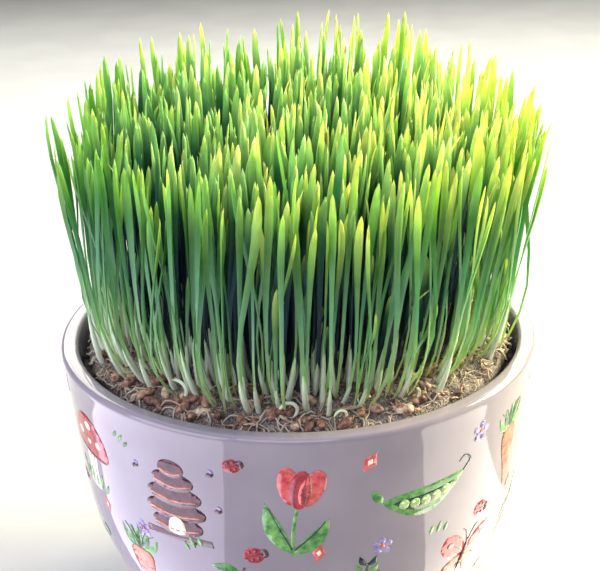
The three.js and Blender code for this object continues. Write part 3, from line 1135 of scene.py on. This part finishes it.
def strip_template(rings):
    """A four-sided strip one unit wide and high that ends in a point, extruded ring by ring."""
    bm = bmesh.new()
    bmesh.ops.create_circle(bm, segments=4, radius=0.5, cap_ends=True)
    top = bm.faces[:]
    for low, high in zip(rings, rings[1:]):
        grown = bmesh.ops.extrude_face_region(bm, geom=top)["geom"]
        if low > 0:
            bmesh.ops.delete(bm, geom=top, context="FACES_ONLY")
        top = [item for item in grown if isinstance(item, bmesh.types.BMFace)]
        moved = [item for item in grown if isinstance(item, bmesh.types.BMVert)]
        bmesh.ops.translate(bm, verts=moved, vec=(0, 0, high - low))
    bmesh.ops.pointmerge(bm, verts=moved, merge_co=(0, 0, 1))
    bmesh.ops.recalc_face_normals(bm, faces=bm.faces)
    return template_of(bm)


def blade_width(share):
    """Width along a blade as a share of its widest: a narrow stalk, a long swell, a lance tip."""
    body = STEM_WIDTH + (1 - STEM_WIDTH) * np.clip(share / SWELL_END, 0, 1) ** 3
    tip = np.clip((share - TIP_START) / (1 - TIP_START), 0, 1)
    return body * np.sqrt(1 - tip ** 2)


def blade_path(blade, share):
    """Where a blade's middle runs, x and y at some shares of its height."""
    fan = blade["fan"] * share ** FAN_BEND
    lean = share ** LEAN_BEND
    kink = np.clip(1 - share / KINK_END, 0, 1) ** 2
    sway = np.sin(share * 2 * math.pi * SWAY_TURNS)
    return [blade[axis] + fan * way + blade["lean_" + axis] * lean
            + blade["kink_" + axis] * kink + blade["sway_" + axis] * sway
            for axis, way in zip("xy", polar(1, blade["bearing"]))]


def bend_blade(points, blade):
    """A blade's points: the template's strip folded to a keel, turned, and bent along its path."""
    side, back, share = points.T
    width = blade["width"] * blade_width(share)
    stem = np.clip(1 - share / STRAIGHT_SHARE, 0, 1)
    keel = width * (LEAF_KEEL + (STEM_KEEL - LEAF_KEEL) * stem) * (1 - 2 * np.abs(side))
    thick = LEAF_THICKNESS + (STEM_ROUNDNESS * width - LEAF_THICKNESS) * stem
    thinning = np.clip((1 - share) / TIP_THINNING, 0, 1)
    across = side * width
    behind = -keel + back * thick * thinning
    turn = blade["turn"] + blade["twist"] * np.clip(share - STRAIGHT_SHARE, 0, None)
    droop = blade["droop"] * np.clip((share - DROOP_START) / (1 - DROOP_START), 0, 1) ** 2
    x, y = blade_path(blade, share)
    x = x + across * np.cos(turn) - behind * np.sin(turn) - droop * math.sin(blade["turn"])
    y = y + across * np.sin(turn) + behind * np.cos(turn) + droop * math.cos(blade["turn"])
    return np.stack([x, y + SOD_SET_BACK, blade["z"] + blade["height"] * share], -1)


def bend_inside(points, blade):
    """A blade's points, with its lean cut back until it stays inside the solids' box."""
    low, high = [np.array(corner) / MM for corner in cad_box]
    bent = bend_blade(points, blade)
    while (bent < low - SAME_HEIGHT).any() or (bent > high + SAME_HEIGHT).any():
        for habit in ("fan", "lean_x", "lean_y", "droop", "sway_x", "sway_y"):
            blade[habit] *= CUT_BACK
        blade["height"] -= CUT_HEIGHT
        bent = bend_blade(points, blade)
    return bent


def sharpen_sides(mesh, sides):
    """Marks a strip's two long side edges sharp, so that its faces shade as flat leaf."""
    pairs = np.zeros(len(mesh.edges) * 2, np.int32)
    mesh.edges.foreach_get("vertices", pairs)
    ends = sides[pairs.reshape(-1, 2)]
    sharp = (np.abs(ends[:, 0]) > SIDE_EDGE) & (ends[:, 0] == ends[:, 1])
    made = mesh.attributes.new("sharp_edge", "BOOLEAN", "EDGE")
    made.data.foreach_set("value", sharp)


def make_blades(name, blades, material):
    """One mesh of blades, each a bent copy of the same strip."""
    points, faces = strip_template(BLADE_RINGS)
    sides = points[:, 0]
    places = [bend_inside(points, blade) for blade in blades]
    mesh = scatter(faces, places, along=points[:, 2], tint=each(blade["tint"] for blade in blades),
                   across=each(blade["width"] for blade in blades) * sides)
    sharpen_sides(mesh, np.tile(sides, len(blades)))
    finish_mesh(name, mesh, material, "wheatgrass_sod")


def make_sheaths(blades, material):
    """The whitish pointed sheaths round the foot of the outer shoots."""
    points, faces = strip_template(SHEATH_RINGS)
    girth = np.interp(points[:, 2], SHEATH_RINGS, SHEATH_GIRTHS)
    places = []
    for blade in blades:
        width = girth * blade["width"] * SHEATH_WIDTH
        x, y = blade_path(blade, points[:, 2] * blade["sheath"] / blade["height"])
        out_x, out_y = turned(points[:, 0] * width, points[:, 1] * width, blade["turn"])
        height = blade["z"] + blade["sheath"] * points[:, 2]
        places.append(np.stack([x + out_x, y + out_y + SOD_SET_BACK, height], -1))
    mesh = scatter(faces, places, along=points[:, 2], tint=each(blade["tint"] for blade in blades),
                   across=points[:, 0])
    finish_mesh("pale_sheaths", mesh, material, "wheatgrass_sod")


def add_habit(blades):
    """Small habits of growth that only the scene's blades show, and each blade's tint, whose rise to the
    right is painted light.
    """
    for blade in blades:
        # Painted light: the tint rises with x, so the blades on the right are drawn yellower and lighter, as
        # if sunlit
        tint = TINT_MIDDLE + PAINTED_SUN_TINT_RISE * blade["x"] + draw.uniform(-TINT_SPREAD, TINT_SPREAD)
        blade["tint"] = min(max(tint, 0), 1)
        rim_pull = draw.uniform(*RIM_PULLS) * (blade["radius"] / ROOT_RADIUS) ** 3
        pull = polar(PULL_STRENGTH * blade["pull"] + rim_pull, blade["bearing"])
        blade["kink_x"] = draw.uniform(-KINK_SPREAD, KINK_SPREAD) - pull[0]
        blade["kink_y"] = draw.uniform(-KINK_SPREAD, KINK_SPREAD) - pull[1]
        blade["sway_x"] = draw.gauss(0, SWAY_SPREAD)
        blade["sway_y"] = draw.gauss(0, SWAY_SPREAD)
        droops = DROOPS if draw.random() < DROOP_CHANCE else (-TIP_SPREAD, TIP_SPREAD)
        blade["droop"] = draw.uniform(*droops)
        blade["sheath"] = draw.uniform(*SHEATH_LENGTHS)


# Grains and roots

# A grain's crease and taper, as shares of its half width, and its narrower side
CREASE_DEPTH = 0.34
CREASE_WIDTH = 0.22
GRAIN_TAPER = 0.12
GRAIN_FLATNESS = 0.48

# A direction that no root or shoot runs along, which gives a tube its first side
OFF_PATH = (0.31, 0.17, 0.93)


def grain_template():
    """A plump grain with pointed ends and the long crease of wheat."""
    bm = bmesh.new()
    bmesh.ops.create_uvsphere(bm, u_segments=10, v_segments=8, radius=1)
    for vert in bm.verts:
        x, y, z = vert.co
        crease = CREASE_DEPTH * math.exp(-(x / CREASE_WIDTH) ** 2) * (1 - abs(z)) if y > 0 else 0
        vert.co = (x * 0.5 * (1 - GRAIN_TAPER * z * z), (y - crease) * GRAIN_FLATNESS, z * 0.5)
    return template_of(bm)


def make_grains(grains, material):
    """Plump grains, half sunk in the mat."""
    points, faces = grain_template()
    places = []
    for grain in grains:
        x, y = grain["x"], grain["y"]
        size = np.array((GRAIN_WIDTH, GRAIN_WIDTH, GRAIN_LENGTH)) * grain.get("size", 1)
        roll = Matrix.Rotation(draw.uniform(0, 2 * math.pi), 3, "Z")
        lie = Matrix.Rotation(math.pi / 2 + grain["tilt"], 3, "X")
        turn = Matrix.Rotation(grain["turn"], 3, "Z")
        placed = points * size @ np.array(turn @ lie @ roll).T
        height = mat_height(x, y) + GRAIN_WIDTH * (GRAIN_RISE + draw.uniform(0, 0.35))
        places.append(placed + (x, y + SOD_SET_BACK, height))
    mesh = scatter(faces, places, tint=each(draw.random() for _ in grains))
    finish_mesh("wheat_grains", mesh, material, "wheatgrass_sod")


def make_husks(material):
    """Empty husks and flakes of bran, lying at all angles between the grains."""
    points, faces = lump_template()
    places = []
    for _ in range(HUSKS):
        bearing = draw.uniform(0, 2 * math.pi)
        x, y = polar(HUSK_RADIUS - HUSK_BAND * draw.random() ** 1.3, bearing)
        shape = [draw.uniform(*sizes) for sizes in HUSK_SHAPES]
        bow = points[:, 1:2] ** 2 * HUSK_BOW
        turn = Matrix.Rotation(draw.uniform(0, math.pi), 3, "Z")
        lie = Matrix.Rotation(draw.gauss(0, HUSK_TILT), 3, "X")
        placed = (points * shape + bow) @ np.array(turn @ lie).T
        height = mat_height(x, y) + felt(x, y) * 0.5 + draw.uniform(*HUSK_RISES)
        places.append(placed + (x, y + SOD_SET_BACK, height))
    mesh = scatter(faces, places, tint=each(draw.random() * 0.9 for _ in places))
    finish_mesh("husks", mesh, material, "wheatgrass_sod")


def tube_template(sides, rings):
    """A tube of unit radius and length, cut into rings."""
    bm = bmesh.new()
    bmesh.ops.create_cone(bm, cap_ends=True, segments=sides, radius1=1, radius2=1, depth=1)
    bmesh.ops.translate(bm, verts=bm.verts, vec=(0, 0, 0.5))
    for i in range(1, rings):
        bmesh.ops.bisect_plane(bm, geom=bm.verts[:] + bm.edges[:] + bm.faces[:],
                               plane_co=(0, 0, i / rings), plane_no=(0, 0, 1))
    return template_of(bm)


def bend_tube(points, path, radii):
    """A tube's points laid along a path, given with its radii at even steps."""
    path = np.array(path)
    steps = np.linspace(0, 1, len(path))
    slopes = np.gradient(path, axis=0)
    slopes /= np.linalg.norm(slopes, axis=1)[:, None]
    middle, ahead = [np.stack([np.interp(points[:, 2], steps, line[:, axis]) for axis in range(3)], -1)
                     for line in (path, slopes)]
    side = np.cross(ahead, OFF_PATH)
    side /= np.linalg.norm(side, axis=1)[:, None]
    up = np.cross(side, ahead)
    radius = np.interp(points[:, 2], steps, radii)[:, None]
    return middle + (side * points[:, :1] + up * points[:, 1:2]) * radius


def hair_path():
    """A root's way over the mat, turned back where it would leave the gap beside it."""
    bearing = draw.uniform(0, 2 * math.pi)
    radius = HAIR_RADIUS - HAIR_BAND * draw.random() ** 1.6
    heading = draw.uniform(0, 2 * math.pi)
    length = draw.uniform(*HAIR_LENGTHS)
    x, y = polar(radius, bearing)
    bend = draw.uniform(-HAIR_BEND, HAIR_BEND)
    hump = draw.uniform(*HAIR_HUMPS) if draw.random() < HAIR_HUMP_CHANCE else HAIR_LOW_HUMP
    path = []
    for i in range(HAIR_RINGS + 1):
        reach = math.hypot(x, y)
        if reach > HAIR_LIMIT:
            heading = bearing + math.pi * draw.uniform(0.6, 1.4)
        ground = mat_height(x, y) + (felt(x, y) if reach < MAT_RADIUS - 0.5 else -HAIR_DROP)
        rise = HAIR_RISE + hump * math.sin(math.pi * i / HAIR_RINGS)
        path.append((x, y + SOD_SET_BACK, ground + rise))
        heading += bend + draw.uniform(-HAIR_WANDER, HAIR_WANDER)
        step_x, step_y = polar(length / HAIR_RINGS, heading)
        x += step_x
        y += step_y
    return path


def make_root_hairs():
    """Fine pale roots that wander over the mat and hang into the gap beside it."""
    points, faces = tube_template(5, HAIR_RINGS)
    places = []
    for _ in range(ROOT_HAIRS):
        path = hair_path()
        thick = draw.uniform(*HAIR_THICKNESS)
        places.append(bend_tube(points, path, [thick] * HAIR_RINGS + [thick * 0.4]))
    mesh = scatter(faces, places, along=each(draw.random() for _ in places),
                   tint=each(draw.random() for _ in places), across=0)
    finish_mesh("root_hairs", mesh, leaf_material("fine_wheat_roots", ROOT_STOPS, ROOT_GLOW),
                "wheatgrass_sod")


# Curled shoots on the mat: bearing in degrees, distance out, curl's size, turns, thickness
CURLS = [
    (-93, 69, 3.2, 0.95, 0.62), (-126, 67, 4.4, 0.55, 0.6), (-60, 70, 4.6, 0.4, 0.5),
    (-150, 70, 3.8, 0.5, 0.55), (-80, 72, 2.6, 0.7, 0.45), (60, 69, 4.0, 0.8, 0.6), (140, 70, 4.0, 0.7, 0.55),
]
CURL_RINGS = 22
CURL_TIGHTENING = 0.25
CURL_DRIFT = 1.8
CURL_RISE = 0.4


def curl_path(bearing, radius, size, turns):
    """A shoot's way up from the mat and round, a little tighter and further out at its end."""
    x, y = polar(radius, bearing)
    ground = mat_height(x, y)
    path = []
    for i in range(CURL_RINGS + 1):
        share = i / CURL_RINGS
        reach = size * (1 - CURL_TIGHTENING * share)
        across, up = polar(reach, -math.pi / 2 + 2 * math.pi * turns * share)
        out_x, out_y = turned(CURL_DRIFT * share, across, bearing)
        path.append((x + out_x, y + out_y + SOD_SET_BACK, ground + reach + up + CURL_RISE))
    return path


def make_curls():
    """Pale shoots that never found the light and curled over on the mat."""
    points, faces = tube_template(8, CURL_RINGS)
    places = []
    for bearing, radius, size, turns, thick in CURLS:
        path = curl_path(math.radians(bearing), radius, size, turns)
        radii = [thick] * (CURL_RINGS - 2) + [thick * 0.8, thick * 0.6, thick * 0.3]
        places.append(bend_tube(points, path, radii))
    mesh = scatter(faces, places, along=points[:, 2] * 0.8, tint=0.5, across=0)
    finish_mesh("curled_shoots", mesh, leaf_material("blanched_wheat_shoot", SHEATH_STOPS, CURL_GLOW),
                "wheatgrass_sod")


def sheath_chance(blade):
    """How likely a shoot still shows its sheath, by where it stands."""
    left, right = SHEATH_CHANCES
    return left + (right - left) * smoothstep(blade["x"], *SHEATH_CHANGE)


def make_plant():
    """Everything that grows: blades, sheaths, grains, husks and roots."""
    grains, blades = main_plants()
    extra = more_blades(blades)
    add_habit(blades)
    add_habit(extra)
    blades += extra
    # The inner blades carry painted shade in their colour, darker low down than the leaf is
    outer = [blade for blade in blades if blade["radius"] > PAINTED_SHADE_RADIUS]
    inner = [blade for blade in blades if blade["radius"] <= PAINTED_SHADE_RADIUS]
    make_blades("outer_blades", outer, leaf_material("young_wheat_leaf", BLADE_STOPS, LEAF_GLOW))
    make_blades("inner_blades", inner, leaf_material("wheat_leaf_with_painted_shade", PAINTED_SHADE_STOPS, LEAF_GLOW))
    sheathed = [blade for blade in blades
                if blade["radius"] > SHEATH_INNER_RADIUS and draw.random() < sheath_chance(blade)]
    make_sheaths(sheathed, leaf_material("wheat_shoot_sheath", SHEATH_STOPS, SHEATH_GLOW))
    source = Sequence(SEED + 2)
    more = [grain_place(source, *MORE_GRAINS_RING) for _ in range(MORE_GRAINS)]
    for grain in more:
        grain["size"] = draw.uniform(0.85, 1.1)
        grain["tilt"] *= 2
    bran = grain_material()
    make_grains(grains + more, bran)
    make_husks(bran)
    make_root_hairs()
    make_curls()


# Studio

def add_object(name, data):
    made = bpy.data.objects.new(name, data)
    bpy.context.scene.collection.objects.link(made)
    return made


def make_camera():
    data = bpy.data.cameras.new("camera")
    data.lens = LENS
    data.sensor_width = SENSOR
    data.sensor_fit = "HORIZONTAL"
    camera = add_object("camera", data)
    pitch = Matrix.Rotation(math.radians(90 - CAMERA_PITCH), 4, "X")
    roll = Matrix.Rotation(math.radians(CAMERA_ROLL), 4, "Z")
    camera.matrix_world = Matrix.Translation(Vector(CAMERA_PLACE) * MM) @ pitch @ roll
    bpy.context.scene.camera = camera


def paper_material():
    look = Look("matt_pale_paper")
    colour = look.ramp(look.noise(size=60, detail=2), [(0.4, "#96989C"), (0.6, "#9A9CA0")])
    return look.finish(look.surface(colour, roughness=0.8))


def make_floor():
    """A plain pale floor."""
    bm = bmesh.new()
    bmesh.ops.create_grid(bm, x_segments=1, y_segments=1, size=FLOOR_REACH * MM)
    mesh = to_mesh(bm, "floor")
    mesh.materials.append(paper_material())
    add_object("floor", mesh)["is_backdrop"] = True


def make_light(name, place, size, watts, colour):
    """A soft rectangular light that faces the object."""
    data = bpy.data.lights.new(name, "AREA")
    data.shape = "RECTANGLE"
    data.size, data.size_y = Vector(size) * MM
    data.energy = watts
    data.color = srgb(colour)[:3]
    light = add_object(name, data)
    light.location = Vector(place) * MM
    light.rotation_euler = (Vector(LIGHTS_AIM) - Vector(place)).to_track_quat("-Z", "Y").to_euler()
    return light


def make_low_panel(name, bearing, width, watts, colour):
    """A bright panel low beside the pot, from a bearing outward. The glaze mirrors it with a crisp edge."""
    side = math.copysign(1, bearing)
    outward = Vector((math.sin(bearing), -math.cos(bearing), 0))
    sideways = Vector((math.cos(bearing), math.sin(bearing), 0)) * side
    middle = outward * (PANEL_START + PANEL_LENGTH / 2) + sideways * width / 2
    light = make_light(name, (*middle.xy, PANEL_HEIGHT), (PANEL_LENGTH, width), watts, colour)
    light.rotation_euler = (math.pi, 0, math.atan2(outward.y, outward.x))


def make_world():
    """The room's faint cool light from all sides."""
    world = bpy.data.worlds.new("room")
    world.use_nodes = True
    background = world.node_tree.nodes["Background"]
    background.inputs["Color"].default_value = srgb("#BCC2DA")
    background.inputs["Strength"].default_value = 0.26
    bpy.context.scene.world = world


def make_studio():
    bpy.context.scene.view_settings.view_transform = "Standard"
    make_camera()
    make_floor()
    make_light("back_window", (-40, 860, 680), (1700, 700), 24, "#FFFCEF")
    make_light("sun_side", (740, 300, 560), (500, 400), 35, "#FFF1C0")
    make_light("left_window", (-850, -560, 500), (900, 700), 8, "#F2F2FF")
    make_light("right_wall", (950, -200, 330), (700, 500), 1.5, "#FFF8EC")
    make_light("top_window", (0, 200, 1300), (1400, 1200), 8, "#FFFFFF")
    make_light("front_fill", (-100, -800, 800), (700, 500), 4.6, "#ECEAFF")
    make_low_panel("left_low_panel", LEFT_PANEL_BEARING, 300, 1.1, "#F0EAFF")
    make_low_panel("right_low_panel", RIGHT_PANEL_BEARING, 120, 0.55, "#FFF4E6")
    make_world()


make_studio()
make_pot()
make_print()
soil = soil_material()
make_soil(soil)
make_crumbs(soil)
make_root_mat()
make_plant()

boxes = {"cad": cad_box, "visual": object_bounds()}
{name: [list(corner) for corner in box] for name, box in boxes.items()}
